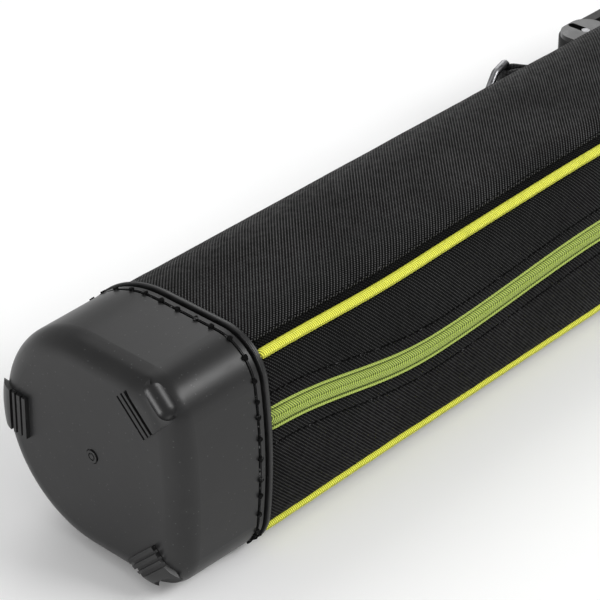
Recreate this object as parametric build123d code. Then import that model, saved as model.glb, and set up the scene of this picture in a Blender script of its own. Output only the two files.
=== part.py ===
from build123d import *
from math import atan2, cos, degrees, radians, sin, sqrt
import os

# A hard case for jointed billiard cues, lying on its lower side.
#
# While it is being built, X runs from the end face of the bottom boot (0) towards the lid, Y runs
# from the flat front of the case (0) towards its rounded back, and Z is up from mid height (0).
# save() moves everything into the finished frame: the origin at the middle of the footprint, on
# the surface that the case lies on.

# ---- driving dimensions (mm) -----------------------------------------------------------------
case_length = 840.0          # end face of the boot to end face of the lid
case_height = 100.0          # across the two flat sides, over the rims of the boot and the lid
case_depth = 104.5           # flat front to rounded back, over the rims
front_corner_radius = 20.7
front_face_radius = 270.0    # the front is very slightly domed

rim_at = 48.4                # edge of the boot, from its end face
boot_inset = 0.8             # the boot's side wall stands this far inside its rim
boot_taper = 0.6             # and narrows by this much towards the end face
boot_edge_radius = 10.0
boot_wall = 2.4
foot_height = 2.0
foot_width = 19.0

fabric_inset = 2.0           # the cover's outer face, inside the rim
fabric_thickness = 1.2
hem_thickness = 0.8
hem_margin = boot_inset + boot_wall + 0.3   # the hem lies just inside the boot's tapering wall
hem_length = 17.7
parting_at = 762.0           # the plane between the case and its lid
parting_gap = 0.8

tube_outer_radius = 45.6
tube_wall = 1.4
butt_bore_radius = 16.25
shaft_bore_radius = 11.0
sleeve_wall = 0.75

piping_radius = 2.1
piping_angle = 37.0          # round the front corner, from the front face
zip_slot = 11.0              # width of zip that shows between the folded fabric edges
coil_width = 5.6
zip_start = 48.0             # the zip comes out of the boot here, dips, then rises and runs level
zip_start_height = 13.2
zip_dip_at = 146.0
zip_dip_height = 0.2
zip_level_from = 255.0
zip_level_height = 5.2

# ---- values worked out from them -------------------------------------------------------------
half_height = case_height / 2
axis_y = case_depth - half_height                 # the round back and the tube share this centre
corner_z = half_height - front_corner_radius
corner_y = front_face_radius - sqrt((front_face_radius - front_corner_radius) ** 2 - corner_z ** 2)
corner_angle = degrees(atan2(corner_z, front_face_radius - corner_y))
back_y = case_depth - fabric_inset                # outermost line of the cover's back
fabric_inner = fabric_inset + fabric_thickness
tube_inner_radius = tube_outer_radius - tube_wall
sleeves_from = 13.0
tube_from = 11.0
sleeves_to = 748.0
lid_rim_at = case_length - rim_at


def polar(centre, radius, angle):
    """A point at an angle from a centre, both in the plane of the section."""
    return (centre[0] + radius * cos(radians(angle)), centre[1] + radius * sin(radians(angle)))


def outline(margin):
    """The D-shaped section of the case, moved inwards by margin."""
    side = half_height - margin
    corner = front_corner_radius - margin
    upper = (corner_y, corner_z)
    lower = (corner_y, -corner_z)
    upper_touch = polar(upper, corner, 180 - corner_angle)
    lower_touch = polar(lower, corner, 180 + corner_angle)
    upper_middle = polar(upper, corner, 135 - corner_angle / 2)
    lower_middle = polar(lower, corner, 225 + corner_angle / 2)
    back = ThreePointArc((axis_y, side), (axis_y + side, 0), (axis_y, -side))
    lower_side = Line((axis_y, -side), (corner_y, -side))
    lower_corner = ThreePointArc((corner_y, -side), lower_middle, lower_touch)
    front = ThreePointArc(lower_touch, (margin, 0), upper_touch)
    upper_corner = ThreePointArc(upper_touch, upper_middle, (corner_y, side))
    upper_side = Line((corner_y, side), (axis_y, side))
    return Wire([back, lower_side, lower_corner, front, upper_corner, upper_side])


def section(margin):
    return Face(outline(margin))


def prism(margin, start, end):
    """The section, drawn out along the case from start to end."""
    return extrude(Plane.YZ.offset(start) * section(margin), amount=end - start, dir=(1, 0, 0))


def ring(outer_margin, inner_margin, start, end):
    """A band round the section between two margins."""
    return prism(outer_margin, start, end) - prism(inner_margin, start, end)


def block(x_range, y_range, z_range):
    """A box from its limits along each axis."""
    centre = [(low + high) / 2 for low, high in (x_range, y_range, z_range)]
    size = [high - low for low, high in (x_range, y_range, z_range)]
    return Pos(*centre) * Box(*size)


def rod(radius, x_range, y=axis_y, z=0.0):
    """A round bar along the case."""
    middle = (x_range[0] + x_range[1]) / 2
    return Pos(middle, y, z) * Rot(0, 90, 0) * Cylinder(radius, x_range[1] - x_range[0])


def pipe(outer_radius, inner_radius, x_range, y=axis_y, z=0.0):
    return rod(outer_radius, x_range, y, z) - rod(inner_radius, x_range, y, z)


# ---- finished frame --------------------------------------------------------------------------
slider_reach = 3.8           # the pocket's zip slider stands this far in front of the front face
handle_reach = 19.5          # and the handle this far behind the round back
middle_x = (case_length - foot_height) / 2
middle_y = (case_depth + handle_reach - slider_reach) / 2


def save(name, shape):
    """Move a piece into the finished frame and write it."""
    placed = Pos(-middle_x, -middle_y, half_height) * shape
    export_step(placed, f"parts/{name}.step")


# ---- moulded boot and lid cap ----------------------------------------------------------------
def cup_form(margin, end_x, edge_radius):
    """A solid the shape of the boot: tapering from the rim to end_x, with a rounded end."""
    length = rim_at - end_x
    angle = degrees(atan2(boot_taper, rim_at))
    rim_face = Plane.YZ.offset(rim_at) * section(margin)
    form = extrude(rim_face, amount=length, dir=(-1, 0, 0), taper=angle)
    return fillet(form.edges().group_by(Axis.X)[0], edge_radius)


stitch_line_at = 41.6
stitch_radius = 0.35
stitch_inset = 0.57          # centre of the thread, inside the outline of the rim
channel_half_width = 0.8
channel_depth = 0.35
bead_width = 1.4
bead_rounding = 0.5
lip_width = 0.9
lip_inset = 0.6
groove_width = 1.7
groove_depth = 1.5


def cup():
    """The moulding without its feet: wall, end, rim bead and lip, and the crease for the stitching."""
    outside = cup_form(boot_inset, 0, boot_edge_radius)
    inside = cup_form(boot_inset + boot_wall, boot_wall, boot_edge_radius - boot_wall)
    bead_from = rim_at - lip_width - bead_width
    bead = prism(0, bead_from, bead_from + bead_width)
    bead = fillet(bead.edges().group_by(Axis.X)[0] + bead.edges().group_by(Axis.X)[-1], bead_rounding)
    lip = prism(lip_inset, bead_from, rim_at)
    channel_ends = (stitch_line_at - channel_half_width, stitch_line_at + channel_half_width)
    channel = ring(-1, boot_inset + channel_depth, *channel_ends)
    groove = ring(-1, boot_inset + groove_depth, bead_from - groove_width, bead_from)
    return outside + bead + lip - channel - groove - inside


rib_pitch = 3.0
rib_grooves = (1.1, 1.2, 1.7)    # widths, from the middle of the end face outwards
rib_root = 0.3               # the grooves stop this far above the end face
foot_side_length = 3.2       # from the end face, over the rounded edge
foot_corner_radius = 1.4
floor_clearance = 0.1        # between the feet and a floor that the case lies on
scoop_radius = 5.0           # of the thumb-shaped hollow between a front foot and the corner
scoop_depth = 1.8
scoop_length = 9.0
gate_radius = 2.7
gate_offset = 5.2
gate_height = 0.5
gate_ring = 0.5              # width and depth of the grooves round the gate and in its face


def foot(angle, inner_end):
    """One ribbed foot, running from the end face over the rounded edge."""
    grown = cup_form(boot_inset - foot_height, -foot_height, boot_edge_radius + foot_height)
    frame = Pos(0, axis_y, 0) * Rot(angle, 0, 0)
    column = block((-10, foot_side_length), (inner_end, 120), (-foot_width / 2, foot_width / 2))
    column = fillet(column.edges().filter_by(Axis.Y), foot_corner_radius)
    pad = grown & (frame * column)
    for number, width in enumerate(rib_grooves):
        distance = inner_end + rib_pitch * (number + 1)
        slot = block((-10, -rib_root), (distance - width, distance), (-20, 20))
        pad = pad - frame * slot
    reach = half_height - floor_clearance
    return pad & block((-10, 60), (-20, 140), (-reach, reach))


front_corner_distance = sqrt((axis_y - corner_y) ** 2 + corner_z ** 2) + front_corner_radius
back_foot = (2.0, 30.5)      # angle round the tube's centre, and distance of the innermost rib
front_feet = [(134.5, 40.6), (-134.0, 44.4)]


def scoop(angle):
    """A thumb-shaped hollow across the outer end of a front foot, in the rounded edge."""
    edge_x = boot_edge_radius * (1 - sqrt(0.5))
    edge_distance = front_corner_distance - boot_inset - boot_taper - edge_x
    rise = (scoop_radius - scoop_depth) * sqrt(0.5)
    hollow = Cylinder(scoop_radius, scoop_length)
    for end in (-scoop_length / 2, scoop_length / 2):
        hollow = hollow + Pos(0, 0, end) * Sphere(scoop_radius)
    return Pos(0, axis_y, 0) * Rot(angle, 0, 0) * Pos(edge_x - rise, edge_distance + rise, 0) * hollow


def gate_mark():
    """The raised disc where the moulding was filled, and the grooves round it and in its face."""
    disc = rod(gate_radius, (-gate_height, 0.4), axis_y - gate_offset)
    around = pipe(gate_radius + gate_ring, gate_radius, (-5, gate_ring), axis_y - gate_offset)
    within = pipe(1.2 + gate_ring, 1.2, (-5, gate_ring - gate_height), axis_y - gate_offset)
    return disc, around + within


def bottom_boot():
    """The boot with its three feet, its gate mark, and the hollows beside the front feet."""
    body = cup()
    inside = cup_form(boot_inset + boot_wall, boot_wall, boot_edge_radius - boot_wall)
    for angle, inner_end in [back_foot] + front_feet:
        body = body + (foot(angle, inner_end) - inside)
    for angle, _ in front_feet:
        body = body - scoop(angle)
    disc, grooves = gate_mark()
    return body + disc - grooves


def stitches(x, count, length):
    """Separate thread stitches that lie end to end in the boot's channel."""
    path = Plane.YZ.offset(x) * outline(stitch_inset)
    threads = []
    for number in range(count):
        position = (number + 0.5) / count
        place = path.position_at(position)
        tangent = path.tangent_at(position)
        plane = Plane(origin=place, x_dir=(1, 0, 0), z_dir=tangent)
        threads.append(plane * Cylinder(stitch_radius, length))
    return Compound(threads)


def mirror_to_lid(shape):
    """The same piece at the other end of the case."""
    return mirror(shape, about=Plane.YZ.offset(case_length / 2))


# ---- cover, front panels, and what is sewn to them -------------------------------------------
def eased(x, start, end, start_height, end_height):
    """A height that changes smoothly between two places and is level at both."""
    share = (1 - cos(radians(180 * (x - start) / (end - start)))) / 2
    return start_height + (end_height - start_height) * share


def zip_height(x):
    """How high the pocket zip runs at x."""
    if x < zip_dip_at:
        return eased(x, zip_start, zip_dip_at, zip_start_height, zip_dip_height)
    if x < zip_level_from:
        return eased(x, zip_dip_at, zip_level_from, zip_dip_height, zip_level_height)
    return zip_level_height


def zip_band(half_width, start, end, y_range):
    """A band that follows the zip across the front, half_width to each side."""
    step = 7.0
    stations = [start + number * step for number in range(int((zip_level_from - start) / step) + 1)]
    stations.append(zip_level_from)
    upper = Spline([(x, zip_height(x) + half_width) for x in stations], tangents=[(1, 0), (1, 0)])
    lower = Spline([(x, zip_height(x) - half_width) for x in stations], tangents=[(1, 0), (1, 0)])
    far_top = (end, zip_level_height + half_width)
    far_bottom = (end, zip_level_height - half_width)
    far_upper = Line(upper @ 1, far_top)
    far = Line(far_top, far_bottom)
    far_lower = Line(far_bottom, lower @ 1)
    near = Line(lower @ 0, upper @ 0)
    face = Face(Wire([upper, far_upper, far, far_lower, lower, near]))
    return extrude(Plane.XZ.offset(-y_range[1]) * face, amount=y_range[1] - y_range[0], dir=(0, -1, 0))


piping_sinks = 0.4           # the cord's centre lies this far below the cover's outer face
piping_offset = front_corner_radius - fabric_inset - piping_sinks
piping_upper_place = polar((corner_y, corner_z), piping_offset, 180 - piping_angle)
piping_lower_place = (piping_upper_place[0], -piping_upper_place[1])
piping_fit = 0.05            # between the cord and the fabric on each side of it
cover_ends = (rim_at + 0.2, parting_at - parting_gap)
step_length = 1.5            # of the fabric where it steps down from the rim to its hem


def fabric_wall():
    """The whole outer fabric of the case, with the hem that is tucked into the boot."""
    wall = ring(fabric_inset, fabric_inner, cover_ends[0], cover_ends[1])
    hem_inner = hem_margin + hem_thickness
    step = ring(fabric_inset, hem_inner, cover_ends[0], cover_ends[0] + step_length)
    hem = ring(hem_margin, hem_inner, rim_at - hem_length, cover_ends[0] + step_length)
    return wall + step + hem


def front_region():
    """Everything in front of the two piped seams."""
    upper = (corner_y, corner_z)
    lower = (corner_y, -corner_z)
    beyond = 2 * front_corner_radius
    wedge = Polygon(upper, polar(upper, beyond, 180 - piping_angle), polar(lower, beyond, 180 + piping_angle),
                    lower, align=None)
    return extrude(Plane.YZ * wedge, amount=case_length, dir=(1, 0, 0))


def piping_clearance():
    radius = piping_radius + piping_fit
    return rod(radius, (0, case_length), *piping_upper_place) + \
        rod(radius, (0, case_length), *piping_lower_place)


def behind_piping(wall):
    """Fabric from the upper piping, over the round back, to the lower piping."""
    return wall - front_region() - piping_clearance()


def before_piping(wall):
    """Fabric across the front, from one piping to the other."""
    return (wall & front_region()) - piping_clearance()


def front_panel(wall, side):
    """One of the two fabric panels above (+1) and below (-1) the pocket zip."""
    panels = before_piping(wall) - zip_band(zip_slot / 2, 20, case_length, (-5, 15))
    return [piece for piece in panels.solids() if piece.center().Z * side > 0][0]


def piping(start, end, place):
    """Corded piping along one front corner, up to the tape of the lid's zip."""
    return rod(piping_radius, (start, end), *place)


coil_top = fabric_inset
tape_margin = fabric_inner + 0.1
tape_thickness = 0.8
tape_cover = 4.0             # how far the tape runs on below the fabric on each side
zip_from = rim_at + 2.2
coil_to = parting_at - 12.0
stop_length = 1.7
stop_half_height = 3.0


def pocket_zip_tape():
    """Woven tape of the pocket zip, lying behind the folded edges of the two panels."""
    band = zip_band(zip_slot / 2 + tape_cover, zip_from, parting_at - 2, (-5, 15))
    return band & ring(tape_margin, tape_margin + tape_thickness, 20, parting_at - 2)


def pocket_zip_coil():
    """The closed chain of the pocket zip, standing on the tape."""
    band = zip_band(coil_width / 2, zip_from, coil_to, (-5, 15))
    return band & ring(coil_top, tape_margin - 0.02, 20, parting_at - 2)


def pocket_zip_stop():
    """The stop that keeps the slider on the chain at the lid end."""
    heights = (zip_level_height - stop_half_height, zip_level_height + stop_half_height)
    return block((coil_to + 0.1, coil_to + 0.1 + stop_length), (coil_top - 0.6, tape_margin - 0.1), heights)


# ---- zip sliders and pull tabs ---------------------------------------------------------------
slider_length = 14.0
slider_width = 9.4
slider_gap = 0.4
slider_top = 2.3
crown_height = 5.8
pivot_height = 4.1
pivot_hole_radius = 1.1
pin_radius = 1.03
pin_length = 6.6
pull_width = 6.6
pull_thickness = 1.3
pull_fork_length = 8.4
pull_fork_width = 1.7


def slider_body(flange_depth):
    """A zip slider's top half: travel along X, the chain's face at Z = 0, outwards is +Z."""
    plate_thickness = slider_top - slider_gap
    plate = Pos(0, 0, slider_gap + plate_thickness / 2) * Box(slider_length, slider_width, plate_thickness)
    plate = fillet(plate.edges().filter_by(Axis.Z), 3.4)
    plate = fillet(plate.edges().group_by(Axis.Z)[-1], 0.6)
    for side in (-1, 1):
        flange = Pos(0, side * 4.0, (slider_gap - flange_depth) / 2)
        plate = plate + flange * Box(8, 1.0, slider_gap + flange_depth)
    crown = block((-4.3, 4.3), (-1.2, 1.2), (slider_top - 0.1, crown_height))
    crown = fillet(crown.edges().filter_by(Axis.Y).group_by(Axis.Z)[-1], 1.7)
    hole = Pos(0, 0, pivot_height) * Rot(90, 0, 0) * Cylinder(pivot_hole_radius, 10)
    return plate + crown - hole


def slider_pull(length, tilt):
    """A pull tab on its pin, lying towards -X and tilted down by tilt degrees."""
    pin = Rot(90, 0, 0) * Cylinder(pin_radius, pin_length)
    tab = Pos(-(6.6 + length / 2), 0, 0) * Box(length, pull_width, pull_thickness)
    tab = fillet(tab.edges().filter_by(Axis.Z), pull_width / 3)
    window = Pos(-(length - 1.0), 0, 0) * Box(length * 0.28, 2.6, 3)
    pull = pin + tab - fillet(window.edges().filter_by(Axis.Z), 1.2)
    fork_y = (pull_width - pull_fork_width) / 2
    for side in (-1, 1):
        fork = Box(pull_fork_length, pull_fork_width, pull_thickness)
        pull = pull + Pos(-pull_fork_length / 2, side * fork_y, 0) * fork
    return Pos(0, 0, pivot_height) * Rot(0, -tilt, 0) * pull


pocket_slider_x = parting_at - 20.5
pocket_slider_place = Pos(pocket_slider_x, coil_top, zip_level_height) * Rot(90, 0, 0)

lid_slider_angle = 60.0      # round from the hinge line, over the upper side
lid_coil_margin = 0.4
lid_tape_margin = 1.3
lid_tape_width = 8.0
lid_slider_place = (
    Pos(parting_at, axis_y, 0)
    * Rot(lid_slider_angle, 0, 0)
    * Pos(0, half_height - lid_coil_margin, 0)
    * Rot(-90, 0, 0)
    * Rot(0, 0, -90)
)

# ---- lid -------------------------------------------------------------------------------------
hinge_half_width = 15.0


def hinge_region():
    """The stretch round the back where the lid hangs on its fabric strip, with no zip."""
    return block((0, case_length), (axis_y, case_depth + 5), (-hinge_half_width - 1, hinge_half_width + 1))


def lid_zip_half(start, end, coil_start, coil_end):
    """One side of the lid's zip: tape with its half of the coil, open across the hinge."""
    tape = ring(lid_tape_margin, fabric_inset - 0.05, start, end)
    coil = ring(lid_coil_margin, lid_tape_margin, coil_start, coil_end)
    return tape + coil - hinge_region()


def lid_fabric_wall():
    """The whole fabric band between the zip and the lid cap, with its hem inside the cap."""
    wall = ring(fabric_inset, fabric_inner, parting_at + parting_gap, lid_rim_at - 0.2)
    hem_inner = hem_margin + hem_thickness
    step_from = lid_rim_at - 0.2 - step_length
    step = ring(fabric_inset, hem_inner, step_from, lid_rim_at - 0.2)
    hem = ring(hem_margin, hem_inner, step_from, lid_rim_at + hem_length)
    return wall + step + hem


def hinge_leaf(start, end):
    """One leaf of the fabric hinge strip, lying on the cover at the middle of the back."""
    outer = rod(half_height - 1.2, (start, end))
    inner = rod(half_height - fabric_inset + 0.05, (start, end))
    return (outer - inner) & block((start, end), (axis_y, 200), (-hinge_half_width, hinge_half_width))


# ---- strap rings and their webbing tabs ------------------------------------------------------
webbing_half_width = 19.0
webbing_thickness = 2.0
tab_length = 28.0            # the part that is sewn flat to the cover
eye_radius = 4.6
ring_bar_x = 326.0
ring_bar_y = back_y + 9.6
ring_wire = 1.9
ring_length = 25.0
ring_lean = 16.0


def strap_tab():
    """Folded webbing, sewn flat to the cover, with an eye that holds the ring's bar."""
    foot_x = ring_bar_x + 9
    neck = Polygon(
        (ring_bar_x - 2.2, ring_bar_y - 4.2), (ring_bar_x + 4.4, ring_bar_y + 1.0),
        (foot_x + 4, back_y + 2.0), (foot_x + 4, back_y - 8), (foot_x - 6, back_y - 8),
        align=None,
    )
    tab = extrude(neck, amount=webbing_half_width, both=True)
    tab = tab + Pos(ring_bar_x, ring_bar_y, 0) * Cylinder(eye_radius, 2 * webbing_half_width)
    tail_ends = (foot_x, foot_x + tab_length)
    strip = block(tail_ends, (axis_y, 200), (-webbing_half_width, webbing_half_width))
    tab = tab + (strip & rod(half_height - fabric_inset + webbing_thickness, tail_ends))
    tab = tab - rod(half_height - fabric_inset + 0.05, (200, 500))
    return tab - Pos(ring_bar_x, ring_bar_y, 0) * Cylinder(ring_wire + 0.35, 50)


def strap_ring():
    """A D-ring bent from wire: its bar in the webbing's eye, its bow leaning on the cover."""
    half_bar = webbing_half_width + 3.4
    bow_x = -ring_length + 12
    path = FilletPolyline(
        (0, 0), (0, half_bar), (bow_x, half_bar), (-ring_length, half_bar - 9), (-ring_length, 0),
        radius=3.5,
    )
    face = Plane.XZ * Circle(ring_wire)
    half = sweep(face, path=path)
    bow = half + mirror(half, about=Plane.XZ)
    upright = Rot(90, 0, 0) * bow
    return Pos(ring_bar_x, ring_bar_y, 0) * Rot(0, 0, ring_lean) * upright


upper_ring_bar_x = 716.0
upper_tab_mirror = (ring_bar_x + upper_ring_bar_x) / 2


def to_upper_tab(shape):
    return mirror(shape, about=Plane.YZ.offset(upper_tab_mirror))


# ---- carrying handle -------------------------------------------------------------------------
handle_x = (372.0, 508.0)
handle_middle = sum(handle_x) / 2
grip_half_width = 15.0
grip_thickness = 7.0
cheek_thickness = 2.4
pin_at = 12.0                # of the handle's pin, in from the bracket's end
pin_rest_y = back_y + 7.0
pin_travel = 8.0
handle_pin_radius = 2.0
handle_slot_radius = 2.06
bracket_length = 24.0
bracket_height = 17.5
bracket_base = 2.4


def handle_bracket():
    """A moulded bracket at the boot end of the handle: a base with two slotted cheeks."""
    start = handle_x[0]
    end = start + bracket_length
    inner = grip_half_width + 0.8
    outer = inner + cheek_thickness
    base_form = rod(half_height - fabric_inset + bracket_base, (start, end))
    base = base_form & block((start, end), (axis_y, 200), (-outer, outer))
    cheeks = block((start, end), (back_y - 8, back_y + bracket_height), (-outer, outer))
    cheeks = fillet(cheeks.edges().filter_by(Axis.Z).group_by(Axis.Y)[-1], 9.0)
    cheeks = cheeks - block((start - 1, end + 1), (back_y - 9, 200), (-inner, inner))
    bracket = base + cheeks - rod(half_height - fabric_inset + 0.05, (start - 1, end + 1))
    slot_x = start + pin_at
    slot_ends = (pin_rest_y, pin_rest_y + pin_travel)
    slot = block((slot_x - handle_slot_radius, slot_x + handle_slot_radius), slot_ends, (-30, 30))
    for y in slot_ends:
        slot = slot + Pos(slot_x, y, 0) * Cylinder(handle_slot_radius, 60)
    return bracket - slot


def handle_grip():
    """The grip: a flat bar with rounded edges whose turned-down ends hold the pins."""
    outer_y = case_depth + handle_reach
    start = handle_x[0] + 5.5
    end = handle_x[1] - 5.5
    bar = block((start, end), (pin_rest_y - 3.6, outer_y), (-grip_half_width, grip_half_width))
    bar = fillet(bar.edges().filter_by(Axis.Z).group_by(Axis.Y)[-1], 6.5)
    gap = block((start + 13, end - 13), (0, outer_y - grip_thickness), (-30, 30))
    gap = fillet(gap.edges().filter_by(Axis.Z).group_by(Axis.Y)[-1], 5.0)
    grip = bar - gap
    grip = fillet(grip.edges().filter_by(Axis.X).group_by(Axis.Y)[-1], 2.6)
    for x in (handle_x[0] + pin_at, handle_x[1] - pin_at):
        grip = grip - Pos(x, pin_rest_y, 0) * Cylinder(handle_pin_radius + 0.02, 60)
    return grip


def handle_pins():
    length = 2 * (grip_half_width + 0.8 + cheek_thickness)
    pins = [Pos(x, pin_rest_y, 0) * Cylinder(handle_pin_radius, length)
            for x in (handle_x[0] + pin_at, handle_x[1] - pin_at)]
    return Compound(pins)


# ---- hard tube and the sleeves that hold the cues ---------------------------------------------
butt_places = [(axis_y - 17.6, 0.0), (axis_y + 17.6, 0.0)]
shaft_places = [(axis_y + y, z) for y in (-12.3, 12.3) for z in (-29.8, 29.8)]
sleeve_names = ["lower_front", "upper_front", "lower_back", "upper_back"]


def sleeve(bore_radius, place):
    return pipe(bore_radius + sleeve_wall, bore_radius, (sleeves_from, sleeves_to), *place)


def spacer_plate(x_range):
    """A disc that keeps the six sleeves apart inside the tube."""
    plate = rod(tube_inner_radius - 0.1, x_range)
    for place in butt_places:
        plate = plate - rod(butt_bore_radius + sleeve_wall + 0.05, (0, case_length), *place)
    for place in shaft_places:
        plate = plate - rod(shaft_bore_radius + sleeve_wall + 0.05, (0, case_length), *place)
    return plate


pocket_half_height = 33.0
pocket_back_y = 8.0


def foam_padding():
    """Foam that fills the D-shaped cover round the tube, hollow where the pocket is."""
    pad = prism(hem_margin + hem_thickness + 0.1, sleeves_from - 5.6, parting_at - 1.0)
    pad = pad - rod(tube_outer_radius + 0.05, (0, case_length)) - piping_clearance()
    pocket = block((rim_at + 2, parting_at - 4), (0, pocket_back_y), (-pocket_half_height, pocket_half_height))
    zip_room = zip_band(zip_slot / 2 + 5, rim_at + 2, parting_at + 5, (0, tape_margin + tape_thickness + 0.1))
    return pad - pocket - zip_room


def pocket_lining():
    """The cloth back wall of the front pocket, lying against the tube and its foam."""
    return block((rim_at + 3, parting_at - 5), (pocket_back_y - 0.9, pocket_back_y - 0.1),
                 (-pocket_half_height + 0.5, pocket_half_height - 0.5))


def main():
    os.makedirs("parts", exist_ok=True)
    stitch_count = 38
    stitch_length = 7.4
    boot_stitches = stitches(stitch_line_at, stitch_count, stitch_length)

    save("bottom_boot", bottom_boot())
    save("bottom_boot_thread", boot_stitches)
    save("base_pad", rod(tube_inner_radius - 0.1, (sleeves_from - 5.0, sleeves_from - 0.1)))
    save("tube_shell", pipe(tube_outer_radius, tube_inner_radius, (tube_from, parting_at - 4)))
    save("foam_padding", foam_padding())
    save("lower_spacer_plate", spacer_plate((sleeves_from, sleeves_from + 8)))
    save("upper_spacer_plate", spacer_plate((sleeves_to - 8, sleeves_to)))
    for name, place in zip(["front", "back"], butt_places):
        save(f"butt_sleeve_{name}", sleeve(butt_bore_radius, place))
    for name, place in zip(sleeve_names, shaft_places):
        save(f"shaft_sleeve_{name}", sleeve(shaft_bore_radius, place))

    wall = fabric_wall()
    save("main_cover", behind_piping(wall))
    save("front_panel_upper", front_panel(wall, 1))
    save("front_panel_lower", front_panel(wall, -1))
    save("pocket_lining", pocket_lining())
    piping_end = parting_at - lid_tape_width - 0.2
    save("piping_upper", piping(rim_at + 0.3, piping_end, piping_upper_place))
    save("piping_lower", piping(rim_at + 0.3, piping_end, piping_lower_place))
    save("pocket_zip_tape", pocket_zip_tape())
    save("pocket_zip_coil", pocket_zip_coil())
    save("pocket_zip_stop", pocket_zip_stop())
    save("pocket_zip_slider", pocket_slider_place * slider_body(0.9))
    save("pocket_zip_pull", pocket_slider_place * slider_pull(26, 5))

    save("lid_cap", mirror_to_lid(cup()))
    save("lid_cap_thread", mirror_to_lid(boot_stitches))
    lid_wall = lid_fabric_wall()
    save("lid_skirt_back", behind_piping(lid_wall))
    save("lid_skirt_front", before_piping(lid_wall))
    save("lid_pad", mirror_to_lid(rod(tube_inner_radius - 6, (boot_wall + 0.1, boot_wall + 6))))
    lid_pipings = [piping(parting_at + lid_tape_width + 0.2, lid_rim_at - 0.3, place)
                   for place in (piping_upper_place, piping_lower_place)]
    save("lid_pipings", Compound(lid_pipings))
    coil_edge = 0.15
    save("lid_zip_case_side", lid_zip_half(parting_at - lid_tape_width, parting_at - parting_gap,
                                           parting_at - coil_width / 2, parting_at - coil_edge))
    save("lid_zip_lid_side", lid_zip_half(parting_at + parting_gap, parting_at + lid_tape_width,
                                          parting_at + coil_edge, parting_at + coil_width / 2))
    save("lid_zip_slider", lid_slider_place * slider_body(0.5))
    save("lid_zip_pull", lid_slider_place * slider_pull(13, 8))
    save("hinge_strip_case_leaf", hinge_leaf(parting_at - 26, parting_at - 0.1))
    save("hinge_strip_lid_leaf", hinge_leaf(parting_at + 0.1, parting_at + 26))

    save("lower_strap_tab", strap_tab())
    save("lower_strap_ring", strap_ring())
    save("upper_strap_tab", to_upper_tab(strap_tab()))
    save("upper_strap_ring", to_upper_tab(strap_ring()))

    bracket = handle_bracket()
    save("handle_bracket_lower", bracket)
    save("handle_bracket_upper", mirror(bracket, about=Plane.YZ.offset(handle_middle)))
    save("handle_grip", handle_grip())
    save("handle_pins", handle_pins())


main()
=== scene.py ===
from math import atan2, cos, exp, hypot, pi, radians, sin, sqrt

import bpy
from mathutils import Matrix, Vector, noise


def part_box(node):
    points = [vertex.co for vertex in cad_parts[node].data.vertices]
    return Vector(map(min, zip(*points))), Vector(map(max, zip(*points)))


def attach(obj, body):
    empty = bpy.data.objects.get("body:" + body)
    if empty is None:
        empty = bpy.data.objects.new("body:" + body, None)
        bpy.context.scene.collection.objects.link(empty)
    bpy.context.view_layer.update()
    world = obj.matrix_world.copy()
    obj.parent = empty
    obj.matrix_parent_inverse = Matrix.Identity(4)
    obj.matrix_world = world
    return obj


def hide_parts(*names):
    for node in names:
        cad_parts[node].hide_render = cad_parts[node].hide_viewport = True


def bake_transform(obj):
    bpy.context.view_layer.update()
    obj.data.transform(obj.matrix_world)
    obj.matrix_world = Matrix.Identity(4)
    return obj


# A hard case for jointed billiard cues, lying on its lower side, seen from the boot end.
#
# Lengths are in millimetres in this file's own section frame: a runs along the case from the
# boot's end face, u from the front of the rims to the rounded back, v up from mid height.
# row() turns them into the frame of the CAD model, in metres.

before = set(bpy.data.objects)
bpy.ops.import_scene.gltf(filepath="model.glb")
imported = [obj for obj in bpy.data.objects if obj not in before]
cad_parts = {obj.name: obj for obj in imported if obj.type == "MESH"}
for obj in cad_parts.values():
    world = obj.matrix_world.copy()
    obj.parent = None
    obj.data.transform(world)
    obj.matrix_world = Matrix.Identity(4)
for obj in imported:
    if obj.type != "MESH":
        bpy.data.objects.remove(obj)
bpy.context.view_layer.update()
MM = 0.001

# ---- driving dimensions -----------------------------------------------------------------------
CASE_LENGTH = 840.0
HALF_HEIGHT = 50.0
CASE_DEPTH = 104.5
CORNER_RADIUS = 20.7
FRONT_RADIUS = 270.0
FOOT_HEIGHT = 2.0
FABRIC_INSET = 2.0
RIM_AT = 48.4
LID_RIM_AT = CASE_LENGTH - RIM_AT
PARTING_AT = 762.0
PARTING_GAP = 0.8
CASE_END = PARTING_AT - PARTING_GAP
LID_START = PARTING_AT + PARTING_GAP
ZIP_TAPE_WIDTH = 8.0
AXIS_U = CASE_DEPTH - HALF_HEIGHT
BACK_U = CASE_DEPTH - FABRIC_INSET
TUBE_RADIUS = 45.6

PIPING_RADIUS = 2.1
PIPING_ANGLE = 37.0
PIPING_SINKS = 0.4
BINDING_TO = 5.5             # a binding strip shows between the piping's centre and the cover's edge; its dark colour is painted shade
ZIP_SLOT = 11.0
TOPSTITCH_AT = 6.0           # from the folded edge beside the zip
HINGE_HALF_WIDTH = 15.0
WEBBING_HALF_WIDTH = 19.0
RING_BARS = (326.0, 716.0)

# Pocket zip: it falls from the boot to its low point, rises to the level run, then runs level.
ZIP_DIP_FROM = 48.0
ZIP_LOW_AT = 146.0
ZIP_LEVEL_FROM = 255.0
ZIP_LOW = 0.2
ZIP_DROP = 13.0
ZIP_RISE = 5.0

FABRIC_FROM = 47.9           # the fabric's end, tucked into the boot's rim
TUCK_IN = 0.5                # how far the lid's fabric reaches into its rim
FOLD_ALLOWANCE = 3.0         # cloth turned in along the zip
TUBE_FOAM_GAP = 0.3

boot_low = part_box("bottom_boot")[0]


def row(a, u, v):
    """A point in the CAD frame, in metres."""
    x = boot_low[0] + (a + FOOT_HEIGHT) * MM
    return Vector((x, boot_low[1] + u * MM, boot_low[2] + (v + HALF_HEIGHT) * MM))


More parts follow.
